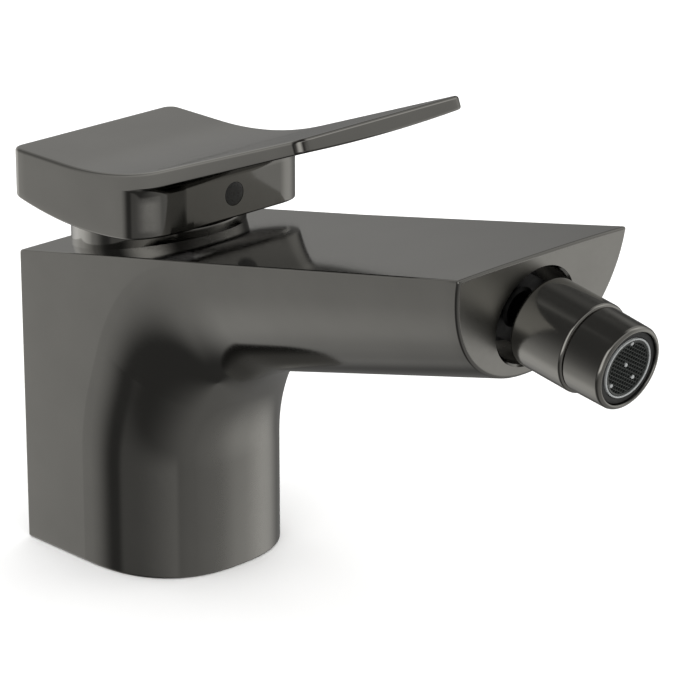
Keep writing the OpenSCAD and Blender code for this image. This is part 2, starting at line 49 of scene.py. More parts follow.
# Body: the driving sizes of the casting
HALF_W = 25.0
BACK_X = -21.2
SPOUT_REACH = 123.2
FRONT_X = 27.4
BACK_H = 72.8
TOP_RISE = radians(11.4)
UNDER_RISE = radians(14)
TIP_DEPTH = 29.4
TIP_FLARE = 0.8
FACE_LEAN = radians(9.8)
INNER_FILLET = 30.0
COLUMN_CURVE = 27.7
COLUMN_POWER = 2.5
SPOUT_POWER = 2.1
EDGE_R = 0.5
TIP_EDGE_R = 0.9
BASE_EDGE_R = 0.5
BACK_EDGE_R = 0.8
TOP_CROWN = 0.4
CROWN_DEPTH = 6.0
TOP_STEPS = 12
NECK_R = 20.6
NECK_TOP = 81.528
CAVITY_R = 18.0
SEAT_Z = 44.328
INLET = {"x": 4.0, "y": 8.5, "r": 4.5, "depth": 14.0}
STUD = {"x": -8.0, "r": 3.4, "depth": 16.0}
DECK_SEAL = {"x": 3.1, "outer": 20.5, "inner": 17.9, "depth": 1.8}

# Handle
HUB_BACK = 23.5
HUB_FRONT = 26.4
HUB_MID = (HUB_FRONT - HUB_BACK) / 2
HUB_CORNER = 10.4
HUB_BACK_CORNER = 3.0
HUB_WALL = 2.5
HUB_ROOF = 4.2
BELLY_Z = 83.128
BELLY_R = 104.0
HANDLE_TOP = 97.528
LEVER_REACH = 74.3
LEVER_RISE = radians(20.8)
BEND_R = 98.0
BEND_X = 13.0
BEND_START = BEND_X - BEND_R * tan(LEVER_RISE / 2)
BEND_END = BEND_START + BEND_R * sin(LEVER_RISE)
LEVER_ROOT_T = 3.8
LEVER_TIP_T = 3.1
LEVER_CROWN = 0.7
TIP_CORNER = 2.5
LEVER_EDGE_R = 0.8
LEVER_UNDER_R = 0.6
RIM_R = 0.6
UNDER_FILLET = 2.5
SOCKET = {"half": 6.5, "front": 25.1, "low": 86.528, "high": 95.5, "bore": 4.02, "roof": 93.35}
SCREW_Z = 92.028
SCREW_HOLE_R = 2.52
SCREW_PLACE = Matrix.Translation((0, 0, SCREW_Z)) @ Matrix.Rotation(pi / 2, 4, "Y")
PLUG_R = 2.8
PLUG_LEN = 4.0

# Outlet, along its own axis from the spout's end face
JOINTS = {joint["name"]: joint for joint in frame["joints"]}
BALL_MID = Vector(JOINTS["outlet_spin"]["pos_m"]) / MM
OUTLET_AXIS = Vector(JOINTS["outlet_spin"]["axis"]).normalized()
BALL_Z = 8.7
BALL_R = 6.8
HOLE_R = 11.3
HOLE_DEPTH = 8.0
THREAD_R = 7.5
THREAD_LEN = 6.0
HEX_R = 8.7
NIPPLE_NECK_R = 4.0
NIPPLE_BORE_R = 2.8
SLEEVE_R = 10.3
SLEEVE_BACK = 2.0
SLEEVE_FRONT = 17.2
SLEEVE_BORE = 8.4
SLEEVE_MOUTH = 6.35
CAP_R = 9.7
CAP_RIM_R = 9.5
CAP_FRONT = 27.3
CAP_RING_R = 8.3
INSERT_R = 6.8
INSERT_WALL = 0.4
FIT = 0.02
SCREEN_PITCH = 0.92
OUTLET_PLACE = (Matrix.Translation(BALL_MID - BALL_Z * OUTLET_AXIS)
                @ Matrix.Rotation(pi / 2 + FACE_LEAN, 4, "Y"))

# Camera, matched to the photograph
CAMERA_PLACE = Vector((0.6158, -0.5349, 0.3493))
CAMERA_AZIMUTH = radians(46.08)
CAMERA_ELEVATION = radians(20.17)
CAMERA_LENS = 195.2
CAMERA_SENSOR = 36.0


# Mesh helpers

def mesh_object(name, points, faces, weld=1e-5):
    """A new object from points in millimetres, with doubled points joined and normals outwards."""
    mesh = bpy.data.meshes.new(name)
    mesh.from_pydata([Vector(p) * MM for p in points], [], faces)
    work = bmesh.new()
    work.from_mesh(mesh)
    bmesh.ops.remove_doubles(work, verts=work.verts, dist=weld)
    bmesh.ops.dissolve_degenerate(work, edges=work.edges, dist=weld / 10)
    bmesh.ops.recalc_face_normals(work, faces=work.faces)
    work.to_mesh(mesh)
    work.free()
    piece = bpy.data.objects.new(name, mesh)
    bpy.context.scene.collection.objects.link(piece)
    return piece


def finish_shading(piece, sharp=35):
    """Smooth shading that keeps flat faces flat and edges over an angle sharp."""
    piece.data.polygons.foreach_set("use_smooth", [True] * len(piece.data.polygons))
    piece.data.set_sharp_from_angle(angle=radians(sharp))
    weighted = piece.modifiers.new("weighted_normals", "WEIGHTED_NORMAL")
    weighted.keep_sharp = True
    weighted.weight = 100
    return piece


def grid_faces(rows, count):
    """Quads between neighbouring rows of a closed ring of count points."""
    faces = []
    for i in range(rows - 1):
        row = i * count
        above = row + count
        for j in range(count):
            k = (j + 1) % count
            faces.append((row + j, above + j, above + k, row + k))
    return faces


def combine(target, tool, operation):
    """Joins or cuts target with tool, which is then removed."""
    step = target.modifiers.new("combine", "BOOLEAN")
    step.object = tool
    step.operation = operation
    step.solver = "EXACT"
    graph = bpy.context.evaluated_depsgraph_get()
    mesh = bpy.data.meshes.new_from_object(target.evaluated_get(graph))
    target.modifiers.clear()
    target.data = mesh
    bpy.data.objects.remove(tool)


def lathe(name, profile, steps=128, place=None):
    """A closed profile of (z, radius) points, turned round the local Z axis."""
    turns = [2 * pi * i / steps for i in range(steps)]
    points = [(r * cos(a), r * sin(a), z) for z, r in profile for a in turns]
    rows = len(profile)
    faces = grid_faces(rows, steps)
    last = (rows - 1) * steps
    faces += [(last + j, j, (j + 1) % steps, last + (j + 1) % steps) for j in range(steps)]
    if place is not None:
        points = [place @ Vector(p) for p in points]
    return mesh_object(name, points, faces)


def rod(name, r, z0, z1, place=None, steps=96):
    """A plain cylinder, used to join and cut."""
    turns = [2 * pi * i / steps for i in range(steps)]
    points = [(r * cos(a), r * sin(a), z) for z in (z0, z1) for a in turns]
    faces = grid_faces(2, steps) + [tuple(range(steps)), tuple(range(steps, 2 * steps))]
    if place is not None:
        points = [place @ Vector(p) for p in points]
    return mesh_object(name, points, faces)


def block(name, low, high):
    """A plain box between two corners, used to join and cut."""
    points = [(x, y, z) for x in (low[0], high[0]) for y in (low[1], high[1]) for z in (low[2], high[2])]
    faces = [(0, 1, 3, 2), (4, 6, 7, 5), (0, 4, 5, 1), (2, 3, 7, 6), (0, 2, 6, 4), (1, 5, 7, 3)]
    return mesh_object(name, points, faces)


def arc(z, r, radius, start, end, steps=6):
    """Points of a rounded edge in a profile, about (z, r), with angles from the +r direction towards +z."""
    angles = [radians(start + (end - start) * i / steps) for i in range(steps + 1)]
    return [(z + radius * sin(a), r + radius * cos(a)) for a in angles]


# Body: a D-shaped section swept up the column, round the inner corner and along the spout

def top_z(x):
    return BACK_H + (x - BACK_X) * tan(TOP_RISE)


TIP_TOP = Vector((SPOUT_REACH, top_z(SPOUT_REACH)))
FACE_DOWN = Vector((-sin(FACE_LEAN), -cos(FACE_LEAN)))
TIP_LOW = TIP_TOP + TIP_DEPTH * FACE_DOWN
FAN_X = FRONT_X + INNER_FILLET
FAN_Z = TIP_LOW[1] - (TIP_LOW[0] - FAN_X) * tan(UNDER_RISE) - INNER_FILLET / cos(UNDER_RISE)
FAN_MID = Vector((FAN_X, FAN_Z))
FAN_END = pi / 2 - UNDER_RISE
FAN_CORNER = atan2(BACK_H - FAN_Z, FAN_X - BACK_X)


def fan_station(angle):
    """Outer and inner point, rounded depth, squareness, half width and crown round the inner corner."""
    ray = Vector((-cos(angle), sin(angle)))
    to_back = (FAN_X - BACK_X) / cos(angle)
    to_top = (top_z(FAN_X) - FAN_Z) / (sin(angle) + cos(angle) * tan(TOP_RISE))
    rounding = max(BACK_EDGE_R - abs(to_back - to_top), 0) ** 2 / (4 * BACK_EDGE_R)
    share = angle / FAN_END
    soft = share * share * (3 - 2 * share)
    reach = min(to_back, to_top) - rounding
    curve = COLUMN_CURVE + (reach - INNER_FILLET - COLUMN_CURVE) * soft ** 3
    power = COLUMN_POWER + (SPOUT_POWER - COLUMN_POWER) * soft
    crown = TOP_CROWN * max(angle - FAN_CORNER, 0) / (FAN_END - FAN_CORNER)
    return FAN_MID + reach * ray, FAN_MID + INNER_FILLET * ray, curve, power, HALF_W, crown


def spout_station(share):
    root = fan_station(FAN_END)
    outer, inner = root[0].lerp(TIP_TOP, share), root[1].lerp(TIP_LOW, share)
    return outer, inner, (inner - outer).length, SPOUT_POWER, HALF_W + TIP_FLARE * share ** 2, TOP_CROWN


def half_section(depth, width, curve, power, corner_steps=48):
    """One half of a section from the outer face to the inner one, as depth and half width."""
    flat = depth - curve

    def half_width(d):
        return width * (1 - max((d - flat) / curve, 0) ** power) ** (1 / power)

    half = []
    for i in range(6):
        turn = radians(18 * i)
        d = EDGE_R * (1 - cos(turn))
        half.append((d, half_width(d) - EDGE_R * (1 - sin(turn))))
    start = max(flat, EDGE_R)
    half += [(start + step * curve, half_width(start + step * curve)) for step in (0.005, 0.015)]
    for i in range(2, corner_steps):
        turn = pi / 2 * i / corner_steps
        half.append((flat + curve * sin(turn) ** (2 / power), width * cos(turn) ** (2 / power)))
    half.append((depth, 0))
    return half


def section_ring(outer, inner, curve, power, width, crown, inset=0.0):
    """The closed ring of a section, as points in space."""
    depth = (inner - outer).length
    ray = (inner - outer) / depth
    half = half_section(depth - 2 * inset, width - inset, curve - 2 * inset, power)
    top_half = half[0][1]
    top = [(0, top_half * (1 - 2 * i / TOP_STEPS)) for i in range(1, TOP_STEPS)]
    points = []
    for d, y in [(d, -y) for d, y in half] + half[-2::-1] + top:
        fall = crown * max(1 - d / CROWN_DEPTH, 0) * abs(y / width) ** 3
        place = outer + (inset + d + fall) * ray
        points.append((place[0], y, place[1]))
    return points


def column_ring(z, inset=0.0):
    """A level ring of the column."""
    outer = Vector((BACK_X, z))
    inner = Vector((FRONT_X, z))
    return section_ring(outer, inner, COLUMN_CURVE, COLUMN_POWER, HALF_W, 0, inset)


def body_rings():
    """Rings from the deck to the spout's end face, with both ends rounded off."""
    rings = []
    quarter = [radians(22.5 * i) for i in range(5)]
    for turn in reversed(quarter):
        rings.append(column_ring(BASE_EDGE_R * (1 - sin(turn)), BASE_EDGE_R * (1 - cos(turn))))
    rings += [column_ring(FAN_Z * i / 8) for i in range(1, 8)]
    near_corner = [radians(d) for d in (-2, -1.4, -1, -0.7, -0.45, -0.2, 0, 0.2, 0.45, 0.7, 1, 1.4, 2)]
    first, last = FAN_CORNER + near_corner[0], FAN_CORNER + near_corner[-1]
    angles = [first * i / 22 for i in range(22)] + [FAN_CORNER + d for d in near_corner]
    angles += [last + (FAN_END - last) * i / 22 for i in range(1, 23)]
    rings += [section_ring(*fan_station(a)) for a in angles]
    root = spout_station(0)
    rounded = 1 - TIP_EDGE_R / (TIP_TOP - root[0]).length
    rings += [section_ring(*spout_station(rounded * i / 24)) for i in range(1, 25)]
    for turn in quarter[1:]:
        share = 1 - (1 - rounded) * (1 - sin(turn))
        rings.append(section_ring(*spout_station(share), TIP_EDGE_R * (1 - cos(turn))))
    return rings


def make_body():
    rings = body_rings()
    count = len(rings[0])
    last = (len(rings) - 1) * count
    faces = grid_faces(len(rings), count) + [tuple(range(count)), tuple(range(last, last + count))]
    body = mesh_object("body_shell", [p for ring in rings for p in ring], faces)
    neck_start = SEAT_Z + 10
    neck_bore = CAVITY_R + 0.5
    neck = [(neck_start, NECK_R), (NECK_TOP, NECK_R), (NECK_TOP, neck_bore), (neck_start, neck_bore)]
    combine(body, lathe("neck", neck), "UNION")
    combine(body, rod("cavity", CAVITY_R, SEAT_Z, NECK_TOP + 1), "DIFFERENCE")
    hole = [(-HOLE_DEPTH, 0.01), (-HOLE_DEPTH, HOLE_R), (-0.5, HOLE_R), (0.5, HOLE_R + 1.0), (0.5, 0.01)]
    combine(body, lathe("outlet_hole", hole, place=OUTLET_PLACE), "DIFFERENCE")
    thread = rod("outlet_thread", THREAD_R, -2 * HOLE_DEPTH, -HOLE_DEPTH + 1, OUTLET_PLACE)
    combine(body, thread, "DIFFERENCE")
    for side in (-1, 1):
        place = Matrix.Translation((INLET["x"], side * INLET["y"], 0))
        combine(body, rod("inlet", INLET["r"], -1, INLET["depth"], place), "DIFFERENCE")
    place = Matrix.Translation((STUD["x"], 0, 0))
    combine(body, rod("stud", STUD["r"], -1, STUD["depth"], place), "DIFFERENCE")
    groove = [(-1, DECK_SEAL["outer"]), (DECK_SEAL["depth"], DECK_SEAL["outer"]),
              (DECK_SEAL["depth"], DECK_SEAL["inner"]), (-1, DECK_SEAL["inner"])]
    place = Matrix.Translation((DECK_SEAL["x"], 0, 0))
    combine(body, lathe("groove", groove, place=place), "DIFFERENCE")
    return finish_shading(body, 30)


def make_cover():
    """The cover ring on the neck, with a rounded edge and a skirt inside."""
    high = NECK_TOP + 2.5
    low = NECK_TOP - 1.6
    edge = 1.2
    bevel = 0.4
    outer = NECK_R - 0.03
    skirt = CAVITY_R - 0.1
    inner = CAVITY_R - 2.5
    profile = [(low, inner), (low, skirt), (NECK_TOP, skirt), (NECK_TOP, outer)]
    profile += arc(high - edge, outer - edge, edge, 0, 90, 10)
    profile += [(high, inner + bevel), (high - bevel, inner)]
    return finish_shading(lathe("neck_cover", profile))


# Handle: rings that run from the hollow hub out under the lever, round its edge and over its top

def lever_line(s):
    """Height and slope of the handle's top at a distance from the cartridge's axis."""
    if s <= BEND_START:
        return HANDLE_TOP, 0.0
    if s <= BEND_END:
        slope = asin((s - BEND_START) / BEND_R)
        return HANDLE_TOP + BEND_R * (1 - cos(slope)), slope
    return HANDLE_TOP + BEND_R * (1 - cos(LEVER_RISE)) + (s - BEND_END) * tan(LEVER_RISE), LEVER_RISE


def lever_depth(s, y):
    """Thickness of the lever, which thins towards the tip and is crowned underneath."""
    along = min(max((s - HUB_FRONT) / (LEVER_REACH - HUB_FRONT), 0), 1)
    thickness = LEVER_ROOT_T + (LEVER_TIP_T - LEVER_ROOT_T) * along
    return thickness + LEVER_CROWN * along * (1 - (y / HALF_W) ** 2)


def below_top(x, depth):
    """Height of the surface that lies a depth under the handle's top."""
    s = x
    for _ in range(4):
        s = x - depth * sin(lever_line(s)[1])
    z, slope = lever_line(s)
    return z - depth * cos(slope)


def belly(x):
    return BELLY_Z + BELLY_R - sqrt(BELLY_R ** 2 - (x - HUB_MID) ** 2)


def handle_outlines():
    """The hub's and the lever's outline seen from above, point for point."""
    side = HALF_W - HUB_BACK_CORNER
    pairs = [((-HUB_BACK, -side * i / 8),) * 2 for i in range(8)]
    for i in range(8):
        turn = radians(180 + 90 * i / 8)
        corner_x = -HUB_BACK + HUB_BACK_CORNER * (1 + cos(turn))
        pairs.append(((corner_x, -side + HUB_BACK_CORNER * sin(turn)),) * 2)
    straight = HUB_FRONT - HUB_CORNER
    for i in range(16):
        x = -HUB_BACK + HUB_BACK_CORNER + (straight + HUB_BACK - HUB_BACK_CORNER) * i / 16
        pairs.append(((x, -HALF_W),) * 2)
    tip_start = LEVER_REACH - TIP_CORNER
    for i in range(28):
        share = i / 28
        turn = radians(270 + 90 * share)
        hub = (straight + HUB_CORNER * cos(turn), -HALF_W + HUB_CORNER * (1 + sin(turn)))
        pairs.append((hub, (straight + (tip_start - straight) * share ** 1.5, -HALF_W)))
    front_half = HALF_W - HUB_CORNER
    tip_half = HALF_W - TIP_CORNER
    corner_share = 0.15
    for i in range(9):
        turn = radians(270 + 90 * i / 9)
        hub = (HUB_FRONT, -front_half * (1 - corner_share * i / 9))
        pairs.append((hub, (tip_start + TIP_CORNER * cos(turn), -tip_half + TIP_CORNER * sin(turn))))
    for i in range(17):
        share = i / 16
        hub = (HUB_FRONT, -front_half * (1 - corner_share) * (1 - share))
        pairs.append((hub, (LEVER_REACH, -tip_half * (1 - share))))
    mirrored = [tuple((x, -y) for x, y in pair) for pair in pairs[-2:0:-1]]
    pairs += mirrored
    return [Vector(hub) for hub, _ in pairs], [Vector(lever) for _, lever in pairs]


def outward(loop):
    """Unit normals of a loop that runs counter-clockwise."""
    count = len(loop)
    normals = []
    for i in range(count):
        run = loop[(i + 1) % count] - loop[i - 1]
        normals.append(Vector((run[1], -run[0])).normalized())
    return normals


def spine_ring(loop, share, height):
    """A loop drawn in towards the handle's middle line, on a surface of the given height."""
    reach = max(p[0] for p in loop)
    back = min(p[0] for p in loop)
    margin = 0.6 * HALF_W
    ring = []
    for p in loop:
        middle = Vector((min(max(p[0], back + margin), reach - margin), 0))
        q = middle.lerp(p, share)
        ring.append((q[0], q[1], height(q[0])))
    return ring


def handle_rings():
    hub, lever = handle_outlines()
    hub_out = outward(hub)
    lever_out = outward(lever)
    inner = [p - HUB_WALL * n for p, n in zip(hub, hub_out)]
    spans = [(b - a).length for a, b in zip(hub, lever)]
    leans = [min(span / 10, 1) for span in spans]
    fillets = [min(UNDER_FILLET, span / 2) for span in spans]
    unders = [min(LEVER_UNDER_R, span / 4) for span in spans]
    shares = [k / 12 for k in range(13)]

    rings = [spine_ring(inner, share, lambda x: below_top(x, HUB_ROOF)) for share in shares]
    rings.append([(p[0], p[1], belly(p[0]) + RIM_R) for p in inner])
    rings.append([(p[0] + 0.4 * n[0], p[1] + 0.4 * n[1], belly(p[0])) for p, n in zip(inner, hub_out)])
    for i in range(5):
        turn = radians(22.5 * i)
        step = RIM_R * (1 - sin(turn))
        rings.append([(p[0] - step * n[0], p[1] - step * n[1], belly(p[0]) + RIM_R * (1 - cos(turn)))
                      for p, n in zip(hub, hub_out)])
    tops = [below_top(p[0], lever_depth(p[0], p[1])) - f for p, f in zip(hub, fillets)]
    for i in range(1, 7):
        rings.append([(p[0], p[1], belly(p[0]) + RIM_R + (top - belly(p[0]) - RIM_R) * i / 6)
                      for p, top in zip(hub, tops)])

    ends = []
    for p, n, lean, under in zip(lever, lever_out, leans, unders):
        depth = lever_depth(p[0], p[1])
        ends.append(Vector((p[0] + lean * depth * sin(lever_line(p[0])[1]), p[1])) - under * n)
    for i in range(1, 9):
        turn = radians(90 * i / 8)
        ring = []
        for p, end, f in zip(hub, ends, fillets):
            away = (end - p).normalized() if (end - p).length > 1e-6 else Vector((0, 0))
            q = p + f * (1 - cos(turn)) * away
            ring.append((q[0], q[1], below_top(q[0], lever_depth(q[0], q[1])) - f * (1 - sin(turn))))
        rings.append(ring)
    starts = [Vector(p[:2]) for p in rings[-1]]
    for i in range(1, 15):
        ring = []
        for start, end in zip(starts, ends):
            q = start.lerp(end, i / 14)
            ring.append((q[0], q[1], below_top(q[0], lever_depth(q[0], q[1]))))
        rings.append(ring)

    def edge_ring(inset, depth_of):
        ring = []
        for i, (p, n, lean) in enumerate(zip(lever, lever_out, leans)):
            depth = depth_of(i, lever_depth(p[0], p[1]))
            q = p - inset(i) * n
            x = q[0] + lean * depth * sin(lever_line(p[0])[1])
            ring.append((x, q[1], below_top(x, depth)))
        return ring

    for k in range(1, 5):
        turn = radians(22.5 * k)
        rings.append(edge_ring(lambda i: unders[i] * (1 - sin(turn)),
                               lambda i, depth: depth - unders[i] * (1 - cos(turn))))
    for k in range(6):
        turn = radians(18 * k)
        rings.append(edge_ring(lambda i: LEVER_EDGE_R * (1 - cos(turn)),
                               lambda i, depth: LEVER_EDGE_R * (1 - sin(turn))))
    edge = [p - LEVER_EDGE_R * n for p, n in zip(lever, lever_out)]
    rings += [spine_ring(edge, share, lambda x: below_top(x, 0)) for share in shares[-2::-1]]
    return rings


def make_handle():
    rings = handle_rings()
    count = len(rings[0])
    handle = mesh_object("handle_shell", [p for ring in rings for p in ring], grid_faces(len(rings), count))
    low = (-SOCKET["half"], -SOCKET["half"], SOCKET["low"])
    high = (SOCKET["front"], SOCKET["half"], SOCKET["high"])
    combine(handle, block("socket", low, high), "UNION")
    low = (-SOCKET["bore"], -SOCKET["bore"], SOCKET["low"] - 2)
    high = (SOCKET["bore"], SOCKET["bore"], SOCKET["roof"])
    combine(handle, block("socket_bore", low, high), "DIFFERENCE")
    seat = HUB_FRONT - PLUG_LEN
    mouth = HUB_FRONT + 0.3
    mouth_r = PLUG_R + 0.03
    channel = [(0, 0.01), (0, SCREW_HOLE_R), (seat, SCREW_HOLE_R), (seat, mouth_r)]
    channel += [(mouth, mouth_r), (mouth, 0.01)]
    combine(handle, lathe("screw_channel", channel, 64, SCREW_PLACE), "DIFFERENCE")
    return finish_shading(handle, 38)


def make_plug():
    """The small cap over the grub screw, a little below the hub's face."""
    back = HUB_FRONT - PLUG_LEN + 0.05
    front = HUB_FRONT - 0.06
    edge = 0.12
    profile = [(back, 0), (back, PLUG_R)]
    profile += arc(front - edge, PLUG_R - edge, edge, 0, 90, 5)
    profile += [(front + 0.02, PLUG_R * 0.5), (front + 0.03, 0)]
    return finish_shading(lathe("screw_plug", profile, 64, SCREW_PLACE))


# Outlet

def make_nipple():
    """The brass nipple with its hexagon and its hollow ball."""
    nut_back = -HOLE_DEPTH + 1
    ball_start = asin(NIPPLE_NECK_R / BALL_R)
    flat = 4.5
    end = -HOLE_DEPTH - THREAD_LEN
    profile = [(end, NIPPLE_BORE_R), (end, THREAD_R - 0.4), (end + 0.4, THREAD_R - FIT)]
    profile += [(nut_back, THREAD_R - FIT), (nut_back + 2.2, NIPPLE_NECK_R + 0.4)]
    profile.append((nut_back + 2.6, NIPPLE_NECK_R))
    for i in range(25):
        turn = -pi / 2 + ball_start + (pi / 2 + asin(flat / BALL_R) - ball_start) * i / 24
        profile.append((BALL_Z + BALL_R * sin(turn), BALL_R * cos(turn)))
    profile.append((BALL_Z + flat, NIPPLE_BORE_R))
    nipple = lathe("outlet_nipple", profile, 96, OUTLET_PLACE)
    nut = rod("nut", HEX_R, nut_back, nut_back + 2, OUTLET_PLACE, 6)
    bore = rod("nut_bore", NIPPLE_BORE_R + 0.5, nut_back - 1, nut_back + 4, OUTLET_PLACE)
    combine(nut, bore, "DIFFERENCE")
    combine(nipple, nut, "UNION")
    return finish_shading(nipple)


def make_sleeve():
    """The swivel's sleeve, with a round rim behind and a beaded edge in front."""
    rim = 1.4
    bead = 0.75
    profile = [(SLEEVE_BACK, SLEEVE_MOUTH)]
    profile += arc(SLEEVE_BACK + rim, SLEEVE_R - rim, rim, -90, 0, 10)
    profile += arc(SLEEVE_FRONT - bead, SLEEVE_R - bead, bead, 0, 90, 8)
    profile += [(SLEEVE_FRONT, SLEEVE_BORE + 0.3), (SLEEVE_FRONT - 0.3, SLEEVE_BORE), (BALL_Z, SLEEVE_BORE)]
    for i in range(1, 9):
        turn = -asin(sqrt(SLEEVE_BORE ** 2 - SLEEVE_MOUTH ** 2) / SLEEVE_BORE) * i / 8
        profile.append((BALL_Z + SLEEVE_BORE * sin(turn), SLEEVE_BORE * cos(turn)))
    return finish_shading(lathe("swivel_sleeve_shell", profile, 160, OUTLET_PLACE))


def make_cap():
    """The aerator's cap, tapered a little, with a round rim at the mouth."""
    rim = 1.0
    lip = 0.3
    back = SLEEVE_FRONT - 3
    shelf = SLEEVE_FRONT + 1.5
    seam = SLEEVE_FRONT + 0.05
    bevel = 0.3
    spigot_r = SLEEVE_BORE - FIT
    bore = SLEEVE_BORE - 0.8
    profile = [(back, bore), (back, spigot_r), (seam, spigot_r)]
    profile += [(seam, CAP_R - bevel), (seam + bevel, CAP_R)]
    profile += arc(CAP_FRONT - rim, CAP_RIM_R - rim, rim, 0, 90, 10)
    profile += arc(CAP_FRONT - lip, CAP_RING_R + lip, lip, 90, 180, 5)
    profile += [(shelf, CAP_RING_R), (shelf, bore)]
    return finish_shading(lathe("aerator_cap_shell", profile, 160, OUTLET_PLACE))


def make_cap_ring():
    """The black ring between the cap and the jet former."""
    back = SLEEVE_FRONT + 4
    front = CAP_FRONT - 0.7
    round_r = 0.25
    profile = [(back, INSERT_R + FIT), (back, CAP_RING_R - FIT)]
    profile += arc(front - round_r, CAP_RING_R - FIT - round_r, round_r, 0, 90, 4)
    profile += arc(front - round_r, INSERT_R + FIT + round_r, round_r, 90, 180, 4)
    return finish_shading(lathe("outlet_ring", profile, 128, OUTLET_PLACE))


def make_insert():
    """The jet former's cup with its thin pale rim."""
    back = SLEEVE_FRONT + 1.5
    step = SLEEVE_FRONT + 4
    front = CAP_FRONT - 0.3
    rim = INSERT_WALL / 2
    flange = step - 0.05
    flange_r = CAP_RING_R - FIT
    profile = [(back, 0), (back, flange_r), (flange, flange_r), (flange, INSERT_R)]
    profile += arc(front - rim, INSERT_R - rim, rim, 0, 180, 8)
    profile += [(step + 0.3, INSERT_R - INSERT_WALL), (step + 0.3, 0)]
    return finish_shading(lathe("jet_former", profile, 128, OUTLET_PLACE))


def make_screen():
    """A honeycomb screen with a plain border, and a thin floor behind it."""
    front = CAP_FRONT - 0.55
    thick = 0.6
    radius = INSERT_R - INSERT_WALL - FIT
    border = 0.55
    cell = SCREEN_PITCH / sqrt(3)
    hole = 0.74 * cell
    levels = ((cell, front - thick), (cell, front), (hole, front - 0.08), (hole, front - thick))
    corners = [(cos(radians(60 * k + 30)), sin(radians(60 * k + 30))) for k in range(6)]
    points, faces = [], []
    rows = ceil(radius / SCREEN_PITCH) + 1
    for row in range(-rows, rows + 1):
        for col in range(-rows, rows + 1):
            x = SCREEN_PITCH * (col + (row % 2) / 2)
            y = SCREEN_PITCH * row * sqrt(3) / 2
            if hypot(x, y) > radius - 0.35 * border:
                continue
            start = len(points)
            for reach, z in levels:
                points += [(x + reach * c, y + reach * s, z) for c, s in corners]
            for first, second in ((1, 2), (2, 3), (0, 3)):
                a = start + 6 * first
                b = start + 6 * second
                faces += [(a + k, a + (k + 1) % 6, b + (k + 1) % 6, b + k) for k in range(6)]
    screen = mesh_object("outlet_screen", [OUTLET_PLACE @ Vector(p) for p in points], faces)
    low = SLEEVE_FRONT + 4.4
    high = SLEEVE_FRONT + 4.6
    edge = [(low, radius - border), (low, radius), (front + 0.02, radius), (front + 0.12, radius - 0.2),
            (front + 0.02, radius - border)]
    rim = lathe("screen_border", edge, 96, OUTLET_PLACE)
    floor = [(low, 0), (low, radius - 0.1), (high, radius - 0.1), (high, 0)]
    return [finish_shading(screen), finish_shading(rim), lathe("screen_floor", floor, 64, OUTLET_PLACE)]


def make_pegs():
    """Small pale pegs that stand on the screen at four given places."""
    foot = SLEEVE_FRONT + 4.5
    front = CAP_FRONT - 0.42
    peg_r = 0.45
    edge = 0.2
    places = [(0.1, 5.7), (-0.7, 0.9), (2.2, -2.7), (-4.4, -3.0)]
    pegs = []
    for i, (aside, up) in enumerate(places):
        place = OUTLET_PLACE @ Matrix.Translation((-up, aside, 0))
        profile = [(foot, 0), (foot, peg_r)]
        profile += arc(front - edge, peg_r - edge, edge, 0, 90, 4)
        profile.append((front, 0))
        pegs.append(finish_shading(lathe(f"screen_peg_{i}", profile, 24, place)))
    return pegs


# Materials

class Shader:
    """A material under construction, with short calls for its nodes."""

    def __init__(self, name):
        self.material = bpy.data.materials.new(name)
        self.material.use_nodes = True
        self.nodes = self.material.node_tree.nodes
        self.links = self.material.node_tree.links
        self.surface = self.nodes["Principled BSDF"]
        self.where = self.nodes.new("ShaderNodeTexCoord").outputs["Object"]

    def set(self, **values):
        for name, value in values.items():
            self.surface.inputs[name.replace("_", " ")].default_value = value

    def noise(self, scale, detail):
        noise = self.nodes.new("ShaderNodeTexNoise")
        noise.inputs["Scale"].default_value = scale
        noise.inputs["Detail"].default_value = detail
        self.links.new(self.where, noise.inputs["Vector"])
        return noise.outputs["Fac"]

    def colour(self, factor, dark, light):
        ramp = self.nodes.new("ShaderNodeValToRGB")
        ramp.color_ramp.elements[0].position = 0.3
        ramp.color_ramp.elements[1].position = 0.7
        ramp.color_ramp.elements[0].color = (*dark, 1)
        ramp.color_ramp.elements[1].color = (*light, 1)
        self.links.new(factor, ramp.inputs["Fac"])
        self.links.new(ramp.outputs["Color"], self.surface.inputs["Base Color"])

    def roughness(self, factor, low, high):
        spread = self.nodes.new("ShaderNodeMapRange")
        spread.inputs["From Min"].default_value = 0.3
        spread.inputs["From Max"].default_value = 0.7
        spread.inputs["To Min"].default_value = low
        spread.inputs["To Max"].default_value = high
        self.links.new(factor, spread.inputs["Value"])
        self.links.new(spread.outputs["Result"], self.surface.inputs["Roughness"])

    def bump(self, factor, strength, distance):
        bump = self.nodes.new("ShaderNodeBump")
        bump.inputs["Strength"].default_value = strength
        bump.inputs["Distance"].default_value = distance
        self.links.new(factor, bump.inputs["Height"])
        self.links.new(bump.outputs["Normal"], self.surface.inputs["Normal"])


def shaded(colour, factor):
    return tuple(factor * c for c in colour)


def metal(name, colour, rough, spread=0.02, grain=900):
    """Polished, coated metal with a faint cloud in its gloss and its tone."""
    shader = Shader(name)
    shader.set(Metallic=1.0)
    cloud = shader.noise(60, 3)
    shader.colour(cloud, shaded(colour, 0.96), shaded(colour, 1.04))
    shader.roughness(shader.noise(grain, 4), rough - spread, rough + spread)
    return shader.material


